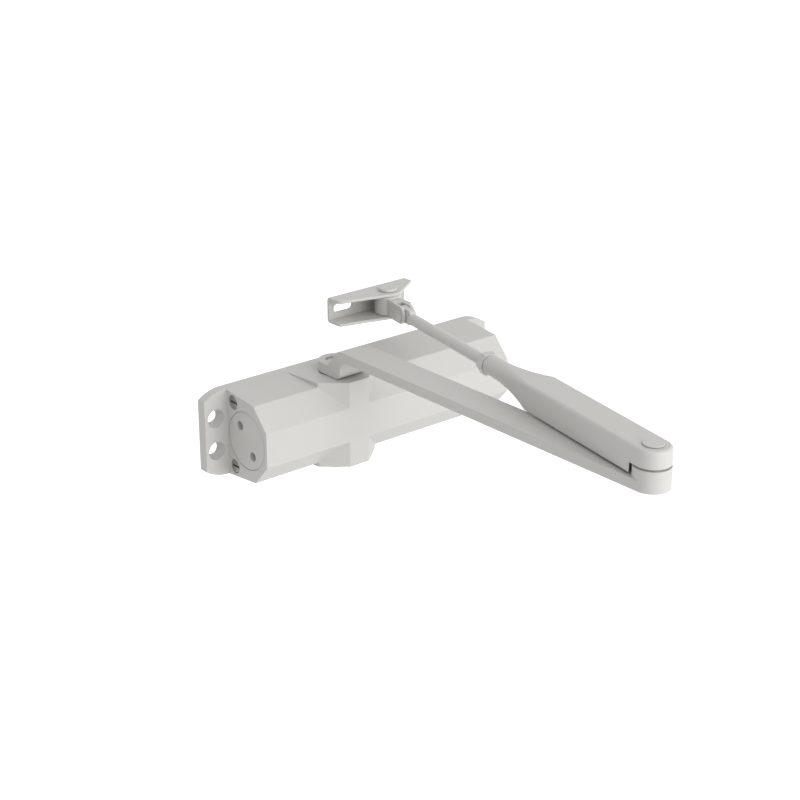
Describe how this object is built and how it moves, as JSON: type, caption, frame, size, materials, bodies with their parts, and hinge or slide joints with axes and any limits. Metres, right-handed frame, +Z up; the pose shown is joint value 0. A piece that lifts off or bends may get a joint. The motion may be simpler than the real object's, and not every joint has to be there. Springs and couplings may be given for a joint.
{
  "type": "overhead door closer",
  "caption": "Surface-mounted overhead door closer with a rack-and-pinion body, a cranked main arm, an adjustable forearm and a pivoting shoe, all painted light grey.",
  "frame": {"origin": "centre of the body's back face, midway between its mounting holes", "axes": "+X along the body towards the spring end, +Y into the door, +Z up"},
  "size_m": [0.2446, 0.3183, 0.1105],
  "materials": {
    "paint": "satin",
    "zinc": "satin",
    "steel": "satin",
    "bearing_steel": "polished",
    "rubber": "matte"
  },
  "bodies": {
    "housing": {"closer_body": "paint", "left_end_cap": "paint", "right_end_cap": "paint", "cap_seals": "rubber", "valve_seals": "rubber", "main_spring": "steel", "spring_seat": "steel", "upper_bearing": "bearing_steel", "lower_bearing": "bearing_steel", "upper_seal": "rubber", "lower_seal": "rubber", "upper_gland": "zinc", "lower_gland": "zinc", "spindle_cover": "paint"},
    "sweep_screw": {"sweep_valve": "zinc"},
    "latch_screw": {"latch_valve": "zinc"},
    "rack_piston": {"piston": "steel", "check_ball": "bearing_steel", "check_retainer": "steel"},
    "arm": {"spindle": "steel", "main_arm": "paint", "arm_screw": "zinc", "elbow_pin": "paint", "elbow_washer": "zinc"},
    "fore": {"forearm": "paint"},
    "nut": {"jam_nut": "paint"},
    "rod": {"adjusting_rod": "paint"},
    "fork": {"swivel_fork": "paint", "clevis_pin": "paint"},
    "shoe": {"arm_shoe": "paint", "shoe_rivet": "paint", "shoe_washers": "zinc"}
  },
  "joints": [
    {"name": "arm_swing", "type": "hinge", "parent": "housing", "child": "arm", "pos_m": [-0.0294, -0.0253, 0], "axis": [0, 0, 1], "range_deg": [0, 160]},
    {"name": "piston_travel", "type": "slide", "parent": "housing", "child": "rack_piston", "axis": [1, 0, 0], "range_m": [0, 0.0252], "deforming": ["main_spring"]},
    {"name": "elbow", "type": "hinge", "parent": "arm", "child": "fore", "pos_m": [-0.0294, -0.3071, 0.0574], "axis": [0, 0, 1], "range_deg": [-160, 20]},
    {"name": "rod_adjust", "type": "slide", "parent": "fore", "child": "rod", "axis": [0.1822, 0.9833, 0], "range_m": [-0.02, 0.02]},
    {"name": "jam_nut_turn", "type": "hinge", "parent": "fore", "child": "nut", "pos_m": [0.00131, -0.14142, 0.0607], "axis": [0.1822, 0.9833, 0], "range_deg": [-180, 180]},
    {"name": "clevis_tilt", "type": "hinge", "parent": "rod", "child": "fork", "pos_m": [0.02053, -0.03771, 0.0607], "axis": [0.9833, -0.1822, 0], "range_deg": [-15, 15]},
    {"name": "shoe_swivel", "type": "hinge", "parent": "fork", "child": "shoe", "pos_m": [0.02476, -0.0149, 0.0624], "axis": [0, 0, 1], "range_deg": [-75, 75]},
    {"name": "sweep_valve_turn", "type": "hinge", "parent": "housing", "child": "sweep_screw", "pos_m": [-0.1049, -0.0143, 0.0225], "axis": [-1, 0, 0], "range_deg": [-90, 180]},
    {"name": "latch_valve_turn", "type": "hinge", "parent": "housing", "child": "latch_screw", "pos_m": [-0.1049, -0.0143, -0.0225], "axis": [-1, 0, 0], "range_deg": [-90, 180]}
  ],
  "couplings": [
    {"joint": "piston_travel", "follows": "arm_swing", "m_per_rad": 0.009}
  ]
}
